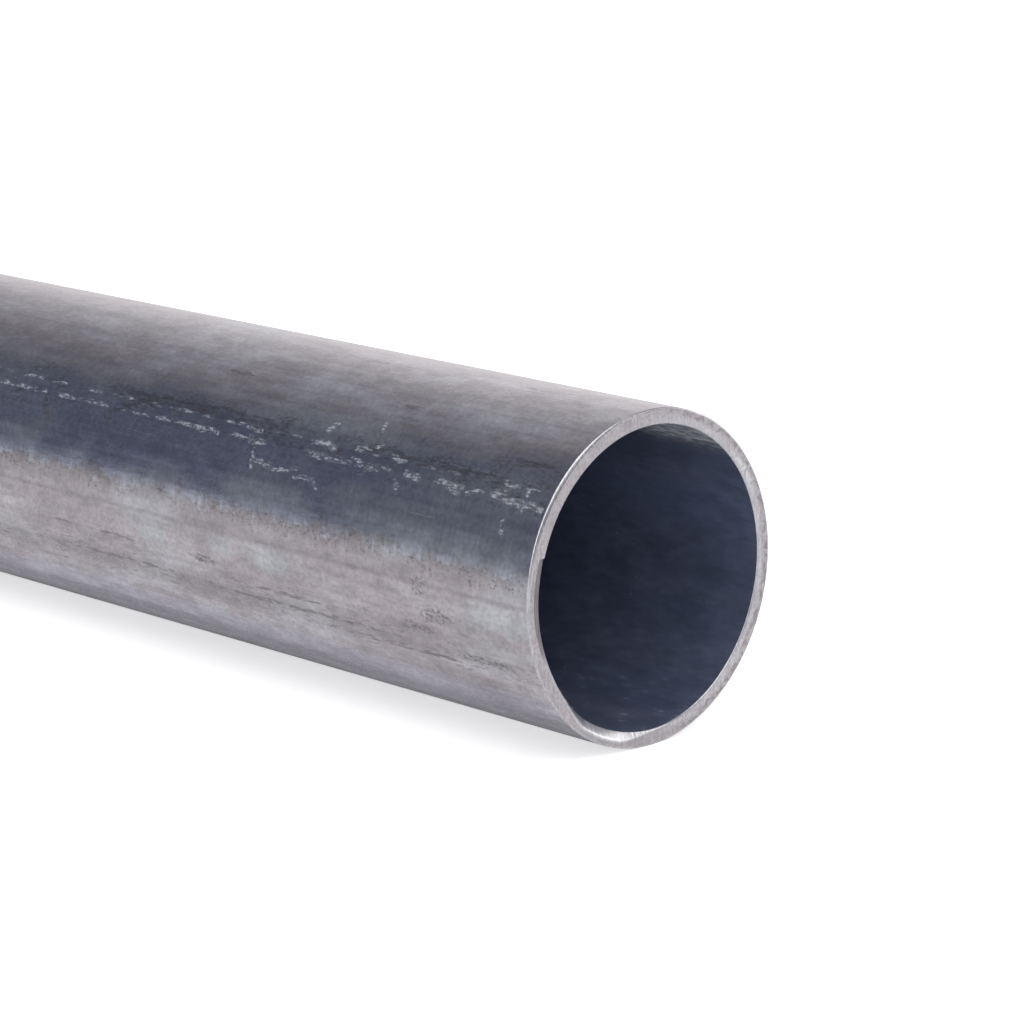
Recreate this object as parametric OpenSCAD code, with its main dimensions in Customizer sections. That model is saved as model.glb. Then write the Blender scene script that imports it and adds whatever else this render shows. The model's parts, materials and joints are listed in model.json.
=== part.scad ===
// Round steel tube: one sawn length of stock, lying on its side.
// The axis runs along X. The origin is on the ground under the middle of the tube, +Z up.

/* [Section] */
// Outer diameter
outer_d = 60.3; // [30:0.1:120]
// Wall thickness
wall = 2.9; // [1.6:0.1:6]

/* [Length] */
// Length from one sawn end to the other
tube_length = 1000; // [100:10:3000]

/* [Sawn ends] */
// Width of the bevel that deburring leaves on the outer edge of each end
outer_break = 0.4; // [0.1:0.1:0.7]
// Width of the bevel on the bore edge of each end
bore_break = 0.4; // [0.1:0.1:0.7]

/* [Hidden] */
$fn = 96;
steel_grey = [0.56, 0.55, 0.57];
outer_r = outer_d / 2;
bore_r = outer_r - wall;
end_z = tube_length / 2;

// Half section of the wall: radius across, length upward, with a 45 degree bevel at each of its four edges
function wall_outline() = [
    [bore_r, -end_z + bore_break],
    [bore_r + bore_break, -end_z],
    [outer_r - outer_break, -end_z],
    [outer_r, -end_z + outer_break],
    [outer_r, end_z - outer_break],
    [outer_r - outer_break, end_z],
    [bore_r + bore_break, end_z],
    [bore_r, end_z - bore_break],
];

// The wall turned about the tube's axis, then laid along X so that its lowest line touches the ground
module tube() {
    color(steel_grey)
        translate([0, 0, outer_r])
            rotate([0, 90, 0])
                rotate_extrude()
                    polygon(wall_outline());
}

tube();
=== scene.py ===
import json
import math

import bpy
import numpy as np
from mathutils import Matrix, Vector, noise


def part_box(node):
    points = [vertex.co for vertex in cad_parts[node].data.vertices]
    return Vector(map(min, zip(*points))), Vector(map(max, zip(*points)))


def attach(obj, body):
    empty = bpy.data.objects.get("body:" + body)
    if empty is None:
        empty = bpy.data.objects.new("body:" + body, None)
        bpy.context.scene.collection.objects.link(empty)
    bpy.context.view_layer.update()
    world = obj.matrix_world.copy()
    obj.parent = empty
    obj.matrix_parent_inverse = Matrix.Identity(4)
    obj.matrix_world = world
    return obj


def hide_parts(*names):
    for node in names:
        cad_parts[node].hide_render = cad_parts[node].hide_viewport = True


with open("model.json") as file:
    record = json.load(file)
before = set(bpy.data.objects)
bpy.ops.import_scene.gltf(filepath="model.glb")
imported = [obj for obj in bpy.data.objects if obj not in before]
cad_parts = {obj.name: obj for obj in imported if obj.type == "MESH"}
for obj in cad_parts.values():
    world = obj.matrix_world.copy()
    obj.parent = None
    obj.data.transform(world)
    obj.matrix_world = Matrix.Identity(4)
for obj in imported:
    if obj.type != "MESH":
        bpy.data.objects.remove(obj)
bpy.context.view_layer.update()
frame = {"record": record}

# The tube's real sizes in metres. Its axis runs along X, at AXIS_Z above the floor.
MM = 0.001
MOUNTS = {mount["name"]: mount for mount in frame["record"]["mounts"]}
OUTER_R = MOUNTS["outside"]["dims"]["r_mm"] * MM
BORE_R = MOUNTS["bore"]["dims"]["r_mm"] * MM
AXIS_Z = MOUNTS["bore"]["pos_m"][2]
END_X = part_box("tube")[1].x
MM_PER_DEGREE = math.radians(OUTER_R / MM)

# How finely the tube is turned: steps round it, and rings along each stretch of its section
ROUND_STEPS = 480
OUTSIDE_RINGS = 64
BORE_RINGS = 40
ROUND_RINGS = 4
BLEND_RINGS = 3
EDGE_RINGS = ROUND_RINGS + 1 + BLEND_RINGS
FACE_RINGS = 8

# The plain walls' rings keep this far from each end, clear of the worn edges
WALL_MARGIN = 3 * MM

# Where each end's uneven edges are read from in the noise
PLUS_SEED = 1.0
MINUS_SEED = 31.0

# The filed outer edge, in mm and degrees from the sawn face
OUTER_TILT = 24
OUTER_BLEND = 0.60
LEAST_BEVEL = 0.01

# The deburred bore edge: where its deeper cut starts and stops, in degrees round the tube, then mm
CUT_START = -50
CUT_STOP = 17
BORE_CORNER = 0.10
BEVEL_SHARE = 0.60
BLEND_SHARE = 0.70

# How far the blade left the sawn face hollow, in mm
SAW_DIP = 0.010


# ---------------------------------------------------------------- the tube's mesh

# Angles run round the tube in degrees: 0 faces -Y, 90 is the top and -90 the line that lies on the floor.


def bump_at(angle, middle, half_width):
    """1 at the middle angle, falling smoothly to 0 at half_width degrees each side of it."""
    away = abs((angle - middle + 180) % 360 - 180) / half_width
    return 0.5 + 0.5 * math.cos(math.pi * min(away, 1.0))


def uneven(angle, seed, size=1.0):
    """Smooth noise from -1 to 1 that closes on itself round the tube."""
    turn = math.radians(angle)
    return noise.noise(Vector((math.cos(turn) * size, math.sin(turn) * size, seed)))


def edge_rings(corner, tilt, bevel, blend):
    """(across, back) of each ring of one worn edge, from the tube's wall to the sawn face.

    The corner is rounded to a small radius. Then comes a bevel tilted this much from the face, and then a
    blend of large radius into the face. across is measured along the face, and back is measured behind it.
    """
    runs = []
    for step in range(ROUND_RINGS):
        turn = 90 - (90 - tilt) * (step + 0.5) / ROUND_RINGS
        runs.append((turn, corner * math.radians(90 - tilt) / ROUND_RINGS))
    runs.append((tilt, bevel))
    for step in range(BLEND_RINGS):
        turn = tilt * (1 - (step + 0.5) / BLEND_RINGS)
        runs.append((turn, blend * math.radians(tilt) / BLEND_RINGS))
    rings = [(0.0, sum(length * math.sin(math.radians(turn)) for turn, length in runs))]
    for turn, length in runs:
        across, back = rings[-1]
        across += length * math.cos(math.radians(turn))
        back -= length * math.sin(math.radians(turn))
        rings.append((across, back))
    return rings


def outer_edge(angle, seed):
    """The outer edge's rings. A file has taken more off on the upper part of the side facing -Y."""
    bevel = 0.04 + 0.34 * bump_at(angle, 36, 62) + 0.04 * uneven(angle, seed, 14)
    corner = 0.10 + 0.26 * bump_at(angle, 38, 68)
    return edge_rings(corner * MM, OUTER_TILT, max(bevel, LEAST_BEVEL) * MM, OUTER_BLEND * MM)


def bore_edge(angle, seed):
    """The bore edge's rings. The deburring tool cut deeper over one stretch, which stops with a small step
    at CUT_STOP, and deepest of all in a scoop near the bottom.
    """
    cut = 0.35 + 1.25 * bump_at(angle, 2, 36) if CUT_START < angle < CUT_STOP else 0.0
    scoop = 1.95 * min(1.35 * bump_at(angle, -65, 31), 1.0)
    width = 0.28 + max(cut, scoop) + 0.05 * uneven(angle, seed + 5, 16)
    tilt = 34 - 15 * bump_at(angle, -88, 22) - 20 * min(1.6 * bump_at(angle, -6, 44), 1.0)
    return edge_rings(BORE_CORNER * MM, tilt, BEVEL_SHARE * width * MM, BLEND_SHARE * width * MM)


def end_section(angle, seed):
    """Radius and depth behind the face of each ring, from the outside, over the sawn face, into the bore."""
    outside = outer_edge(angle, seed)
    inside = bore_edge(angle, seed)
    start = OUTER_R - outside[-1][0]
    face = start - (BORE_R + inside[-1][0])
    rings = [(OUTER_R - across, back) for across, back in outside]
    for step in range(1, FACE_RINGS):
        share = step / FACE_RINGS
        dip = SAW_DIP * MM * (1 + uneven(angle, seed + 9 + share, 9))
        rings.append((start - face * share, dip))
    rings += [(BORE_R + across, back) for across, back in reversed(inside)]
    return rings


def stations(count, reach):
    """Places along the tube between its two ends' edges, closer together near each end."""
    shares = [0.5 - 0.5 * math.cos(math.pi * i / (count + 1)) for i in range(1, count + 1)]
    return [reach * (2 * share - 1) for share in shares]


def ring_table():
    """radius[ring, step] and x[ring, step] of the whole closed section, from the +X face round to itself.

    The -X end has the same cuts, mirrored onto the tube's +Y side, with other unevenness.
    """
    angles = [360 * i / ROUND_STEPS - 180 for i in range(ROUND_STEPS)]
    plus = [end_section(angle, PLUS_SEED) for angle in angles]
    minus = [end_section(180 - angle if angle > 0 else -180 - angle, MINUS_SEED) for angle in angles]
    reach = END_X - WALL_MARGIN
    columns = []
    for this, other in zip(plus, minus):
        column = [(radius, END_X - back) for radius, back in this]
        column += [(BORE_R, x) for x in reversed(stations(BORE_RINGS, reach))]
        column += [(radius, back - END_X) for radius, back in reversed(other)]
        column += [(OUTER_R, x) for x in stations(OUTSIDE_RINGS, reach)]
        columns.append(column)
    table = np.array(columns).transpose(1, 0, 2)
    return table[:, :, 0], table[:, :, 1], np.radians(angles)


# The material of each ring of faces, in ring_table's order, as an index into make_tube's materials
OUTSIDE, SAWN, EDGE, BORE = range(4)
END_REGIONS = [EDGE] * EDGE_RINGS + [SAWN] * FACE_RINGS + [EDGE] * EDGE_RINGS
REGIONS = END_REGIONS + [BORE] * (BORE_RINGS + 1) + END_REGIONS + [OUTSIDE] * (OUTSIDE_RINGS + 1)


def make_tube(materials):
    radius, x, angles = ring_table()
    rings = len(radius)
    y = -radius * np.cos(angles)
    z = AXIS_Z + radius * np.sin(angles)
    points = np.stack([x, y, z], axis=2).reshape(-1, 3)
    faces = []
    regions = []
    for ring in range(rings):
        following = (ring + 1) % rings
        for step in range(ROUND_STEPS):
            beside = (step + 1) % ROUND_STEPS
            here, there = ring * ROUND_STEPS, following * ROUND_STEPS
            faces.append((here + step, there + step, there + beside, here + beside))
            regions.append(REGIONS[ring])
    mesh = bpy.data.meshes.new("steel_tube")
    mesh.from_pydata(points.tolist(), [], faces)
    for material in materials:
        mesh.materials.append(material)
    mesh.polygons.foreach_set("material_index", regions)
    mesh.polygons.foreach_set("use_smooth", [True] * len(faces))
    mesh.update()
    tube = bpy.data.objects.new("steel_tube", mesh)
    bpy.context.scene.collection.objects.link(tube)
    return tube


# ---------------------------------------------------------------- node helpers


# Most of a noise texture lies between these
NOISE_LOW = 0.32
NOISE_HIGH = 0.68

# Sockets of Blender's colour Mix node
MIX_FACTOR = 0
MIX_A = 6
MIX_B = 7
MIX_RESULT = 2


class Graph:
    """A material's or world's node tree, built by short calls.

    A value is a number or another node's output.
    """

    def __init__(self, owner):
        self.owner = owner
        owner.use_nodes = True
        self.tree = owner.node_tree
        self.tree.nodes.clear()

    def node(self, kind, **settings):
        made = self.tree.nodes.new(kind)
        for key, value in settings.items():
            setattr(made, key, value)
        return made

    def feed(self, socket, value):
        if isinstance(value, bpy.types.NodeSocket):
            self.tree.links.new(value, socket)
        elif value is not None:
            socket.default_value = value

    def math(self, operation, a, b=None, c=None):
        made = self.node("ShaderNodeMath", operation=operation)
        for socket, value in zip(made.inputs, (a, b, c)):
            self.feed(socket, value)
        return made.outputs[0]

    def add(self, a, b):
        return self.math("ADD", a, b)

    def sub(self, a, b):
        return self.math("SUBTRACT", a, b)

    def mul(self, a, b):
        return self.math("MULTIPLY", a, b)

    def ramp(self, value, low, high, to_low=0.0, to_high=1.0):
        """Smoothly maps low..high to to_low..to_high, and holds those beyond."""
        made = self.node("ShaderNodeMapRange", interpolation_type="SMOOTHSTEP")
        for key, item in zip(range(5), (value, low, high, to_low, to_high)):
            self.feed(made.inputs[key], item)
        return made.outputs[0]

    def spread(self, texture, low, high):
        """A noise texture stretched so that most of it runs from low to high."""
        return self.ramp(texture, NOISE_LOW, NOISE_HIGH, low, high)

    def product(self, *values):
        made = values[0]
        for value in values[1:]:
            made = self.mul(made, value)
        return made

    def most(self, *values):
        """The largest of several values."""
        made = values[0]
        for value in values[1:]:
            made = self.math("MAXIMUM", made, value)
        return made

    def near(self, value, middle, half_width):
        """1 where value is middle, falling smoothly to 0 at half_width each side of it."""
        away = self.math("ABSOLUTE", self.sub(value, middle))
        return self.ramp(away, 0.0, half_width, 1.0, 0.0)

    def vector_math(self, operation, a, b=None, scale=None):
        made = self.node("ShaderNodeVectorMath", operation=operation)
        self.feed(made.inputs[0], a)
        self.feed(made.inputs[1], b)
        if operation == "SCALE":
            self.feed(made.inputs["Scale"], scale)
        return made.outputs["Value" if operation in ("DOT_PRODUCT", "DISTANCE") else "Vector"]

    def stretched(self, vector, scale):
        """vector times a scale along each axis."""
        return self.vector_math("MULTIPLY", vector, scale)

    def vector(self, x, y, z):
        made = self.node("ShaderNodeCombineXYZ")
        for socket, value in zip(made.inputs, (x, y, z)):
            self.feed(socket, value)
        return made.outputs[0]

    def noise(self, vector, detail=3.0, roughness=0.55):
        """Noise from 0 to 1 with one feature per unit of vector."""
        made = self.node("ShaderNodeTexNoise", noise_dimensions="3D")
        self.feed(made.inputs["Vector"], vector)
        made.inputs["Scale"].default_value = 1.0
        made.inputs["Detail"].default_value = detail
        made.inputs["Roughness"].default_value = roughness
        return made.outputs["Fac"]

    def mix(self, factor, a, b):
        """Colour a where factor is 0, and b where it is 1."""
        made = self.node("ShaderNodeMix", data_type="RGBA")
        self.feed(made.inputs[MIX_FACTOR], factor)
        for socket, value in ((made.inputs[MIX_A], a), (made.inputs[MIX_B], b)):
            self.feed(socket, (*value, 1.0) if isinstance(value, tuple) else value)
        return made.outputs[MIX_RESULT]

    def tint(self, colour, value):
        """colour times a plain value."""
        return self.vector_math("SCALE", colour, scale=value)

    def bump(self, height, depth):
        """A normal from a height of 0 to 1, with the depth in metres."""
        made = self.node("ShaderNodeBump")
        made.inputs["Strength"].default_value = 1.0
        made.inputs["Distance"].default_value = depth
        self.feed(made.inputs["Height"], height)
        return made.outputs["Normal"]

    def finish(self, colour, metallic, roughness, normal=None):
        shader = self.node("ShaderNodeBsdfPrincipled")
        self.feed(shader.inputs["Base Color"], colour)
        self.feed(shader.inputs["Metallic"], metallic)
        self.feed(shader.inputs["Roughness"], roughness)
        self.feed(shader.inputs["Normal"], normal)
        output = self.node("ShaderNodeOutputMaterial")
        self.tree.links.new(shader.outputs["BSDF"], output.inputs["Surface"])
        return self.owner


class TubeGraph(Graph):
    """A Graph that knows where it is on the tube.

    place, x, y and z are mm from the middle of the tube's axis, radius is mm from the axis, from_end is mm
    from the +X end, and angle is in degrees.
    """

    def __init__(self, owner):
        super().__init__(owner)
        position = self.node("ShaderNodeTexCoord").outputs["Object"]
        from_axis = self.vector_math("SUBTRACT", position, (0.0, 0.0, AXIS_Z))
        self.place = self.stretched(from_axis, (1 / MM,) * 3)
        parts = self.node("ShaderNodeSeparateXYZ")
        self.tree.links.new(self.place, parts.inputs[0])
        self.x, self.y, self.z = parts.outputs
        turn = self.math("ARCTAN2", self.z, self.mul(self.y, -1.0))
        self.angle = self.math("DEGREES", turn)
        self.from_end = self.sub(END_X / MM, self.x)
        squares = self.add(self.mul(self.y, self.y), self.mul(self.z, self.z))
        self.radius = self.math("SQRT", squares)

    def patches(self, length, width, detail=3.0, seed=0.0):
        """Noise with features of this length along the tube and this width across it, in mm.

        seed moves it elsewhere in the noise.
        """
        scaled = self.stretched(self.place, (1 / length, 1 / width, 1 / width))
        return self.noise(self.vector_math("ADD", scaled, (seed, seed, seed)), detail)


# ---------------------------------------------------------------- materials

# In what follows, patches() takes a length and a width in mm, near() and ramp() on angle take degrees, and
# on radius, from_end, y and z they take mm.

# Depth of each material's bump, in metres
OUTSIDE_BUMP = 0.028 * MM
SAWN_BUMP = 0.035 * MM
EDGE_BUMP = 0.05 * MM
BORE_BUMP = 0.05 * MM

EDGE_ROUGHNESS = 0.28
BORE_METALLIC = 0.35

SCALE_GREY = (0.382, 0.353, 0.373)
# Bluish scale tone that also paints in the dark room's reflection
BLUE_SCALE_AND_REFLECTION = (0.322, 0.352, 0.450)
SCALE_ASH = (0.345, 0.330, 0.350)
SCALE_OLIVE = (0.385, 0.360, 0.352)
# Lilac tint of the underside, made paler than the grey scale as painted light
LILAC_PAINTED_LIGHT = (0.452, 0.428, 0.488)
# Painted shade for the blue band's lower edge
BAND_EDGE_PAINTED_SHADE = (0.240, 0.225, 0.232)
SCALE_CHALK = (0.448, 0.466, 0.492)
SCALE_DARK = (0.185, 0.170, 0.180)
# Dark of the pits, and of the painted shade specks along the blue band's lower edge
PIT_AND_BAND_EDGE_DARK = (0.120, 0.108, 0.115)
SCUFF_PALE = (0.49, 0.50, 0.54)
SAWN_GREY = (0.435, 0.405, 0.425)
SAWN_BRIGHT = (0.51, 0.50, 0.535)
SAWN_PAINTED_GLINT = (0.64, 0.64, 0.67)
SAWN_DARK = (0.20, 0.185, 0.19)
EDGE_BRIGHT = (0.50, 0.49, 0.51)
EDGE_MAUVE = (0.42, 0.385, 0.42)
BORE_NAVY = (0.130, 0.163, 0.270)
BORE_HAZE = (0.182, 0.206, 0.304)
BORE_PALE = (0.53, 0.545, 0.56)

# Lines and broad bands that run the tube's whole length: angle, half width in degrees, and shade in the
# middle. Above 1 it lightens. The bands at -36° and -65° and the line at -38° are painted light and shade on
# the underside.
ROLL_LINES_AND_PAINTED_SHADING = (
    (-0.8, 1.7, 0.82),
    (65.0, 1.4, 0.88),
    (-15.5, 1.4, 0.90),
    (-22.5, 2.2, 0.94),
    # Painted light: lightens the underside where it reflects the table
    (-36.0, 17.0, 1.30),
    # Painted shadow edge, where the underside's reflection of the table meets the tube's shadow
    (-38.0, 2.6, 0.90),
    # Painted shade along the line that lies on the floor
    (-65.0, 15.0, 0.50),
    (77.5, 9.0, 0.88),
    (83.0, 1.0, 0.92),
    (121.0, 1.0, 0.88),
    (158.0, 1.6, 0.90),
    (-112.0, 1.4, 0.90),
    (-154.0, 0.9, 0.86),
)

# Two rows of scuffs along the tube: angle, half width in degrees
SCUFF_ROWS = ((37.6, 1.6), (33.3, 1.5))

# Smears and wisps on and beside them: half width in mm, then points as (mm from the +X end, angle)
SMEARS = (
    (0.8, (93, 33.6), (87, 33.2)),
    (1.0, (78, 33.9), (73.5, 33.5)),
    (0.8, (82, 37.4), (76, 37.6)),
    (1.2, (61.5, 37.8), (56, 37.6)),
    (0.8, (61, 33.6), (56, 33.1)),
    (1.0, (49.7, 34.0), (46, 33.2), (43.3, 33.4)),
    (1.0, (35.5, 33.6), (32, 33.0)),
    (1.1, (27, 33.7), (22.3, 32.6)),
    (1.0, (19.8, 32.6), (17.4, 33.0)),
    (1.6, (13.4, 34.2), (8, 33.0), (5.5, 31.6)),
    (1.0, (5, 33.3), (1.7, 32.6)),
    (0.8, (12, 39.3), (11.6, 36.8), (8.8, 38.0)),
    (0.8, (6, 38.4), (5.6, 35.6)),
    (0.8, (40.5, 38.4), (37, 37.6)),
    (0.7, (76, 31), (75, 24)),
    (0.8, (75, 27), (71, 26.5), (68, 25), (65, 25), (63, 26.5)),
    (0.7, (62.5, 23), (60, 24.8), (58, 25), (57, 23)),
    (0.8, (50, 38), (47.5, 40), (45, 42.5)),
    (1.2, (59, 42.5), (57.8, 47)),
    (0.7, (47.5, 51.5), (47, 48)),
    (1.0, (37.8, 29.7), (36.8, 29.3)),
    (0.7, (9.3, 26.5), (9.1, 22.5)),
)

# Paler worn patches: (mm from the +X end, angle) of the middle, and half size as (mm, degrees)
CHALK_PATCHES = (
    ((6, -7), (13, 7)),
    ((67, -7), (7, 6)),
    ((101, -8), (6, 6)),
    ((81, -6), (5, 5)),
    ((20, 19), (40, 13)),
    ((46, 22), (9, 7)),
    ((14, 33), (26, 14)),
    ((70, 17), (16, 7)),
    ((58, 44), (30, 8)),
)

# Clusters of pitting, in the same terms
PIT_CLUSTERS = (
    ((27, -2), (3.5, 5)),
    ((23, -11), (7, 5)),
    ((29, -17), (5, 3)),
    ((86, -13), (5, 3)),
    ((13, -24), (12, 2.5)),
)

# Runs of dark smudges drawn out along the tube, in the same terms
SMUDGE_RUNS = (
    ((127, -12.3), (6, 1.1)),
    ((114, -12.6), (10, 1.2)),
    ((87, -12.4), (5, 2.0)),
    ((64, -18.4), (15, 1.2)),
    ((112, -21.8), (20, 1.4)),
    ((62, -23.0), (34, 1.3)),
    ((34, -27.0), (24, 1.6)),
    ((95, 41), (42, 3.2)),
    ((30, 39.5), (30, 3.0)),
    ((65, 82), (3.5, 1.8)),
    ((26, 86), (3.5, 1.8)),
    ((12, 80), (3.0, 1.5)),
    ((118, 84), (4.0, 1.6)),
    ((91, 59), (5, 1.6)),
    ((45, 60), (4, 1.4)),
    ((8, 47), (9, 2.4)),
)


def patch(g, middle, half):
    """1 in the middle of an oval patch on the outside, falling to 0 at its edge."""
    along = g.mul(g.sub(g.from_end, middle[0]), 1 / half[0])
    across = g.mul(g.sub(g.angle, middle[1]), 1 / half[1])
    away = g.math("SQRT", g.add(g.mul(along, along), g.mul(across, across)))
    return g.ramp(away, 0.35, 1.15, 1.0, 0.0)


def smear(g, here, half_width, *points):
    """1 on a broken line through these points, falling to 0 at half_width mm from it."""
    nearest = None
    for (x0, a0), (x1, a1) in zip(points, points[1:]):
        start = Vector((x0, a0 * MM_PER_DEGREE, 0.0))
        run = Vector((x1, a1 * MM_PER_DEGREE, 0.0)) - start
        offset = g.vector_math("SUBTRACT", here, start)
        share = g.mul(g.vector_math("DOT_PRODUCT", offset, run), 1 / run.length_squared)
        share = g.math("MINIMUM", g.math("MAXIMUM", share, 0.0), 1.0)
        away = g.vector_math("DISTANCE", offset, g.vector_math("SCALE", run, scale=share))
        nearest = away if nearest is None else g.math("MINIMUM", nearest, away)
    return g.ramp(nearest, 0.0, half_width, 1.0, 0.0)


def torn(g, mask, texture, share, softness=0.5):
    """A soft mask broken up by a texture. A larger share leaves more of it."""
    return g.ramp(g.add(mask, g.spread(texture, -0.5, 0.5)), 1.0 - share, 1.0 - share + softness)


def outside_material():
    """Mill finish: clouded grey scale with a blue band that is partly the scale's tone and partly a painted
    reflection of the dark room, painted shade along that band's lower edge, worn patches, smudges, pitting
    and pale scuffs, and painted light and shade on the underside.
    """
    g = TubeGraph(bpy.data.materials.new("mill_scale"))
    bands = g.patches(260.0, 4.0, 3.0, 3.1)
    fine = g.patches(60.0, 1.2, 3.0, 8.7)
    cloud = g.patches(22.0, 9.0, 4.0, 1.3)
    mottle = g.patches(5.0, 2.6, 3.0, 4.9)
    wisps = g.patches(0.8, 4.0, 3.0, 5.9)
    grain = g.patches(0.9, 0.8, 3.0, 2.2)
    dashes = g.patches(2.6, 0.6, 2.0, 9.4)
    flecks = g.patches(0.8, 0.5, 4.0, 4.4)
    streaks = g.patches(2.4, 0.45, 3.0, 5.1)
    ragged = g.add(g.spread(wisps, -2.2, 2.2), g.add(g.spread(mottle, -2.0, 2.0), g.spread(grain, -1.0, 1.0)))
    feather = g.add(g.angle, ragged)
    soft = g.add(g.angle, g.spread(cloud, -4.0, 4.0))

    # The blue band is partly the scale's own tone and partly a painted reflection of the dark room
    blue = g.mul(g.ramp(feather, 7.0, 13.0), g.ramp(soft, 36.0, 52.0, 1.0, 0.0))
    colour = g.mix(g.mul(blue, 0.85), SCALE_GREY, BLUE_SCALE_AND_REFLECTION)
    colour = g.mix(g.mul(g.near(soft, 66.0, 22.0), 0.8), colour, SCALE_ASH)
    colour = g.mix(g.mul(g.near(soft, 53.0, 11.0), 0.6), colour, SCALE_OLIVE)
    # Painted shade along the blue band's lower edge, which moves the edge of the dark room's reflection lower
    colour = g.mix(g.mul(g.near(feather, 8.0, 4.5), 0.45), colour, BAND_EDGE_PAINTED_SHADE)
    # Below -36° a lilac tint, paler than the grey scale: painted light that brightens the underside
    lilac_painted_light = g.ramp(g.add(g.angle, g.spread(bands, -1.0, 1.0)), -37.5, -35.5, 1.0, 0.0)
    colour = g.mix(lilac_painted_light, colour, LILAC_PAINTED_LIGHT)
    chalk = g.most(*[patch(g, *spot) for spot in CHALK_PATCHES])
    chalk = g.most(g.mul(chalk, g.spread(wisps, 0.6, 1.0)), g.spread(cloud, -0.6, 0.5))
    colour = g.mix(g.mul(chalk, 0.85), colour, SCALE_CHALK)
    flush = g.product(g.near(g.angle, 22.0, 13.0), g.ramp(cloud, 0.52, 0.68), g.spread(mottle, 0.1, 0.6))
    colour = g.mix(flush, colour, SCALE_OLIVE)
    veil = g.product(blue, g.ramp(wisps, 0.47, 0.66), g.spread(mottle, 0.0, 0.7))
    colour = g.mix(veil, colour, SCALE_CHALK)

    shade = g.product(
        g.spread(bands, 0.93, 1.06),
        g.spread(fine, 0.95, 1.04),
        g.spread(cloud, 0.93, 1.06),
        g.spread(mottle, 0.89, 1.10),
        g.spread(grain, 0.90, 1.09),
    )
    for angle, half_width, darkness in ROLL_LINES_AND_PAINTED_SHADING:
        line = g.near(g.add(g.angle, g.spread(bands, -0.4, 0.4)), angle, half_width)
        shade = g.mul(shade, g.ramp(g.mul(line, g.spread(cloud, 0.5, 1.0)), 0.0, 1.0, 1.0, darkness))
    colour = g.tint(colour, shade)

    smudges = torn(g, g.most(*[patch(g, *run) for run in SMUDGE_RUNS]), dashes, 0.38, 0.5)
    strays = g.mul(g.ramp(dashes, 0.66, 0.80), g.spread(cloud, 0.2, 1.0))
    smudges = g.mul(g.most(smudges, strays), g.spread(grain, 0.4, 0.85))
    colour = g.mix(smudges, colour, SCALE_DARK)
    specks = g.product(g.near(soft, -23.0, 10.0), g.ramp(dashes, 0.54, 0.66), g.spread(flecks, 0.2, 0.7))
    colour = g.mix(specks, colour, SCALE_DARK)
    pit_and_band_edge_mask = g.most(*[patch(g, *spot) for spot in PIT_CLUSTERS])
    # The specks along the blue band's lower edge are painted shade that breaks up the edge of the dark room's
    # reflection; the listed clusters are pits in the scale
    pit_and_band_edge_mask = g.most(pit_and_band_edge_mask, g.mul(g.near(feather, 6.5, 4.5), 0.8))
    pits_and_band_edge_shade = g.mul(torn(g, pit_and_band_edge_mask, flecks, 0.34, 0.7), g.spread(dashes, 0.3, 0.75))
    colour = g.mix(pits_and_band_edge_shade, colour, PIT_AND_BAND_EDGE_DARK)
    soot = g.product(g.near(soft, 37.0, 18.0), g.ramp(mottle, 0.42, 0.62), g.spread(flecks, 0.25, 1.0))
    colour = g.mix(soot, colour, SCALE_DARK)

    shift = g.spread(mottle, -0.5, 0.5)
    here = g.vector(g.add(g.from_end, shift), g.add(g.mul(g.angle, MM_PER_DEGREE), shift), 0.0)
    clusters = g.spread(g.patches(5.0, 2.5, 2.0, 6.6), -0.1, 1.1)
    clusters = g.mul(clusters, g.ramp(g.from_end, 60.0, 110.0, 0.55, 1.0))
    wander = g.add(g.angle, g.spread(bands, -1.0, 1.0))
    rows = g.mul(g.most(*[g.near(wander, *row) for row in SCUFF_ROWS]), clusters)
    smears = g.most(*[smear(g, here, *line) for line in SMEARS])
    spray = g.mul(g.ramp(flecks, 0.36, 0.62, 0.15, 1.0), g.ramp(streaks, 0.38, 0.56, 0.2, 1.0))
    scuffs = g.mul(g.ramp(g.most(rows, smears), 0.10, 0.75), spray)
    hairs = g.product(g.ramp(g.patches(14.0, 0.25, 2.0, 7.7), 0.70, 0.78), g.spread(mottle, 0.0, 0.7))
    scuffs = g.most(scuffs, hairs)
    dust = g.product(g.near(wander, 35.5, 7.0), g.ramp(streaks, 0.46, 0.70), g.spread(mottle, 0.1, 0.6))
    colour = g.mix(g.most(dust, g.mul(scuffs, g.spread(grain, 0.65, 1.0))), colour, SCUFF_PALE)

    metallic = g.ramp(scuffs, 0.0, 1.0, 1.0, 0.5)
    roughness = g.add(g.spread(fine, 0.25, 0.29), g.add(g.mul(scuffs, 0.22), g.mul(chalk, 0.06)))
    height = g.add(g.add(g.mul(grain, 0.5), g.mul(mottle, 0.5)), g.mul(pits_and_band_edge_shade, -0.15))
    return g.finish(colour, metallic, roughness, g.bump(height, OUTSIDE_BUMP))


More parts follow.
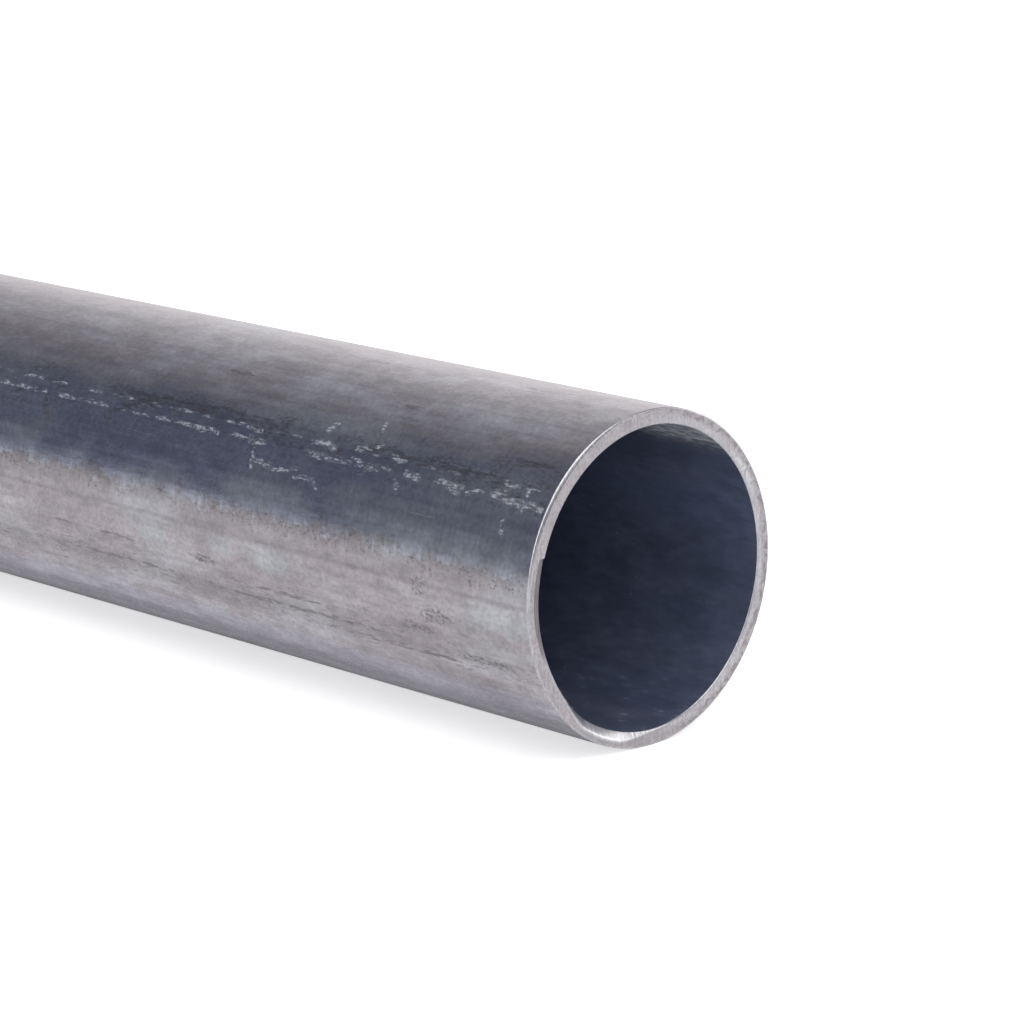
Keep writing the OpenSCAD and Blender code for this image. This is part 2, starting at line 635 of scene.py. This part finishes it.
def sawn_material():
    """Sawn steel: fine upright lines from the blade.

    On the +Y side the inner half is brighter, and the outer half has dark torn blotches. One stretch of the
    inner half has painted glints, paler still.
    """
    g = TubeGraph(bpy.data.materials.new("sawn_steel"))
    lines = g.noise(g.stretched(g.place, (0.0, 2.2, 0.08)), 2.0)
    grain = g.patches(0.45, 0.45, 3.0, 3.3)
    cloud = g.patches(3.5, 3.5, 3.0, 8.1)
    blotch = g.patches(1.1, 1.1, 3.0, 6.2)
    far_side = g.ramp(g.y, -8.0, 12.0)
    across = g.add(g.radius, g.spread(cloud, -0.5, 0.5))
    inner = g.ramp(across, 28.3, 28.9, 1.0, 0.0)
    colour = g.mix(g.product(inner, far_side, 0.8), SAWN_GREY, SAWN_BRIGHT)
    outer = g.product(g.ramp(across, 28.4, 29.2), far_side)
    colour = g.mix(g.mul(torn(g, outer, blotch, 0.20), 0.55), colour, SAWN_DARK)
    shade = g.product(g.spread(lines, 0.91, 1.07), g.spread(grain, 0.86, 1.12), g.spread(cloud, 0.93, 1.06))
    height = g.add(g.mul(lines, 0.6), g.mul(grain, 0.4))
    # Painted glints on one stretch of the inner half
    painted_glints = g.product(
        g.near(g.angle, 146.0, 16.0),
        g.near(g.radius, 28.3, 1.2),
        g.ramp(blotch, 0.42, 0.55),
    )
    colour = g.mix(painted_glints, g.tint(colour, shade), SAWN_PAINTED_GLINT)
    return g.finish(colour, 1.0, g.spread(grain, 0.30, 0.40), g.bump(height, SAWN_BUMP))


def edge_material():
    """The filed and deburred edges: brighter steel with cut lines and small nicks.

    It is mauve and darker on part of the bore's edge, where the darkening is painted shade, and has painted
    shade on part of the outer edge near the top.
    """
    g = TubeGraph(bpy.data.materials.new("filed_edge"))
    nicks = g.patches(0.5, 0.5, 3.0, 5.3)
    lines = g.noise(g.stretched(g.place, (0.3, 2.4, 0.3)), 2.0)
    # Painted shade on part of the bore's edge, in place of the dark that its bevel reflects
    bevel_painted_shade = g.product(
        g.ramp(g.radius, 28.4, 29.0, 1.0, 0.0),
        g.ramp(g.angle, -32.0, -10.0),
        g.ramp(g.angle, 17.0, 18.0, 1.0, 0.0),
    )
    # Painted shade on the outer edge near the top, over the highlight its bevel would catch
    top_edge_painted_shade = g.mul(g.ramp(g.radius, 29.0, 29.6), g.near(g.angle, 94.0, 22.0))
    shade = g.product(
        g.spread(nicks, 0.90, 1.08),
        g.spread(lines, 0.84, 1.10),
        g.ramp(g.most(bevel_painted_shade, top_edge_painted_shade), 0.0, 1.0, 1.0, 0.5),
    )
    height = g.add(g.mul(nicks, 0.15), g.mul(lines, 0.85))
    colour = g.tint(g.mix(bevel_painted_shade, EDGE_BRIGHT, EDGE_MAUVE), shade)
    return g.finish(colour, 1.0, EDGE_ROUGHNESS, g.bump(height, EDGE_BUMP))


def bore_material():
    """Dark navy scale inside, with painted shade that makes it darkest at the +X end and painted light that
    makes it lighter further in.

    It has long soft bands, faint clouds, a few pale specks and low scrapes, and a painted reflection, a pale
    streaky patch just inside the +X end.
    """
    g = TubeGraph(bpy.data.materials.new("bore_scale"))
    bands = g.patches(300.0, 8.0, 2.0, 4.2)
    cloud = g.patches(9.0, 4.0, 4.0, 2.7)
    wisps = g.patches(3.0, 1.0, 3.0, 7.2)
    specks = g.patches(1.0, 0.7, 1.0, 8.8)
    haze = g.mul(g.spread(bands, 0.1, 0.8), g.spread(cloud, 0.5, 1.0))
    colour = g.mix(haze, BORE_NAVY, BORE_HAZE)
    # Painted reflection: a pale streaky patch on the upper wall just inside the +X end
    mouth_reflection = g.mul(g.ramp(g.from_end, 14.0, 28.0, 1.0, 0.0), g.near(g.angle, 112.0, 27.0))
    mouth_reflection = g.mul(g.ramp(mouth_reflection, 0.0, 0.45), g.ramp(wisps, 0.38, 0.60, 0.30, 1.0))
    lit_side = g.mul(g.ramp(g.y, 10.0, 25.0), g.near(g.z, 9.0, 15.0))
    # Painted shade near the +X end and painted light further in and on the lit +Y wall
    shade = g.add(g.ramp(g.from_end, 2.0, 90.0, 0.54, 1.20), g.mul(lit_side, 0.25))
    shade = g.product(shade, g.spread(cloud, 0.90, 1.10), g.spread(wisps, 0.93, 1.08))
    colour = g.mix(mouth_reflection, g.tint(colour, shade), BORE_PALE)
    low = g.mul(g.near(g.angle, -92.0, 50.0), g.ramp(g.from_end, 10.0, 50.0, 1.0, 0.2))
    scrapes = g.product(low, g.ramp(wisps, 0.56, 0.70), g.spread(cloud, -0.2, 0.35))
    specks = g.mul(g.ramp(specks, 0.76, 0.82), 0.3)
    colour = g.mix(g.most(scrapes, specks), colour, BORE_PALE)
    return g.finish(colour, BORE_METALLIC, g.spread(cloud, 0.42, 0.50), g.bump(cloud, BORE_BUMP))


# The floor: how much light it gives back, and how strongly it glows, for the tube and for the camera
FLOOR_PALE = (0.80, 0.80, 0.80, 1.0)
FLOOR_WHITE = (1.0, 1.0, 1.0, 1.0)
FLOOR_GLOW = 0.18
FLOOR_GLOW_SEEN = 0.60


def floor_material():
    """A pale table that glows, more to the camera than to the tube, so that the tube's shadow stays faint."""
    g = Graph(bpy.data.materials.new("pale_table"))
    shader = g.node("ShaderNodeBsdfPrincipled")
    shader.inputs["Base Color"].default_value = FLOOR_PALE
    shader.inputs["Roughness"].default_value = 1.0
    shader.inputs["Specular IOR Level"].default_value = 0.0
    shader.inputs["Emission Color"].default_value = FLOOR_WHITE
    camera_ray = g.node("ShaderNodeLightPath").outputs["Is Camera Ray"]
    glow = g.ramp(camera_ray, 0.0, 1.0, FLOOR_GLOW, FLOOR_GLOW_SEEN)
    g.feed(shader.inputs["Emission Strength"], glow)
    output = g.node("ShaderNodeOutputMaterial")
    g.tree.links.new(shader.outputs["BSDF"], output.inputs["Surface"])
    return g.owner


# ---------------------------------------------------------------- studio

FLOOR_RADIUS = 30.0
FLOOR_SIDES = 96


def make_floor():
    turns = [2 * math.pi * i / FLOOR_SIDES for i in range(FLOOR_SIDES)]
    points = [(FLOOR_RADIUS * math.cos(t), FLOOR_RADIUS * math.sin(t), 0.0) for t in turns]
    mesh = bpy.data.meshes.new("floor")
    mesh.from_pydata(points, [], [tuple(range(FLOOR_SIDES))])
    mesh.materials.append(floor_material())
    mesh.update()
    floor = bpy.data.objects.new("floor", mesh)
    bpy.context.scene.collection.objects.link(floor)
    return floor


DARK_ROOM = (0.190, 0.205, 0.255)
BACKDROP = (1.24, 1.22, 1.24)
CAMERA_RAY_WHITE = (1.0, 1.0, 1.0)

# Softboxes: the way to each, its half angle in degrees at full strength and where it ends, and its strength
SOFTBOXES = (
    ((0.60, -0.50, 0.62), 16, 34, 1.9),
    ((0.35, -0.10, 0.93), 20, 42, 2.3),
    ((0.50, -0.78, 0.38), 14, 30, 2.2),
    ((0.55, 0.80, 0.22), 8, 20, 2.8),
    ((0.80, 0.05, 0.60), 9, 20, 1.8),
)


def make_world():
    """The studio round the table: a pale backdrop on the +Y side, strongest towards -X, a dark room
    elsewhere, and softboxes. The camera sees plain white instead.
    """
    world = bpy.data.worlds.new("studio")
    bpy.context.scene.world = world
    g = Graph(world)
    way = g.node("ShaderNodeTexCoord").outputs["Generated"]
    behind = g.ramp(g.vector_math("DOT_PRODUCT", way, (0.0, 1.0, 0.0)), -0.28, 0.95)
    beside = g.ramp(g.vector_math("DOT_PRODUCT", way, (-1.0, 0.0, 0.0)), -0.05, 0.42, 0.12, 1.0)
    glow = g.mix(g.mul(behind, beside), DARK_ROOM, BACKDROP)
    for direction, full, end, strength in SOFTBOXES:
        facing = g.vector_math("DOT_PRODUCT", way, Vector(direction).normalized())
        box = g.ramp(facing, math.cos(math.radians(end)), math.cos(math.radians(full)), 0.0, strength)
        glow = g.vector_math("MAXIMUM", glow, g.vector(box, box, box))
    camera_ray = g.node("ShaderNodeLightPath").outputs["Is Camera Ray"]
    background = g.node("ShaderNodeBackground")
    g.feed(background.inputs["Color"], g.mix(camera_ray, glow, CAMERA_RAY_WHITE))
    output = g.node("ShaderNodeOutputWorld")
    g.tree.links.new(background.outputs[0], output.inputs["Surface"])


# The camera's place from the middle of the +X end face in metres, where it looks, and its lens in mm
CAMERA_AWAY = 0.6388
CAMERA_LEFT = 0.0243
CAMERA_RISE = 0.1600
CAMERA_HEADING = math.radians(45.97)
CAMERA_PITCH = math.radians(13.05)
CAMERA_LENS = 133.2
CAMERA_SENSOR = 36.0


def make_camera():
    data = bpy.data.cameras.new("camera")
    data.sensor_width = CAMERA_SENSOR
    data.lens = CAMERA_LENS
    data.clip_start = 0.01
    data.clip_end = 100.0
    camera = bpy.data.objects.new("camera", data)
    bpy.context.scene.collection.objects.link(camera)
    ahead = Vector((-math.sin(CAMERA_HEADING), math.cos(CAMERA_HEADING), 0.0))
    right = Vector((ahead.y, -ahead.x, 0.0))
    target = Vector((END_X, 0.0, AXIS_Z))
    camera.location = target - CAMERA_AWAY * ahead - CAMERA_LEFT * right
    camera.location.z += CAMERA_RISE
    camera.rotation_euler = (math.pi / 2 - CAMERA_PITCH, 0.0, CAMERA_HEADING)
    bpy.context.scene.camera = camera


# ---------------------------------------------------------------- the scene

tube = make_tube([outside_material(), sawn_material(), edge_material(), bore_material()])
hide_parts("tube")
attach(tube, "root")
make_floor()
make_world()
make_camera()
bpy.context.scene.view_settings.view_transform = "Standard"
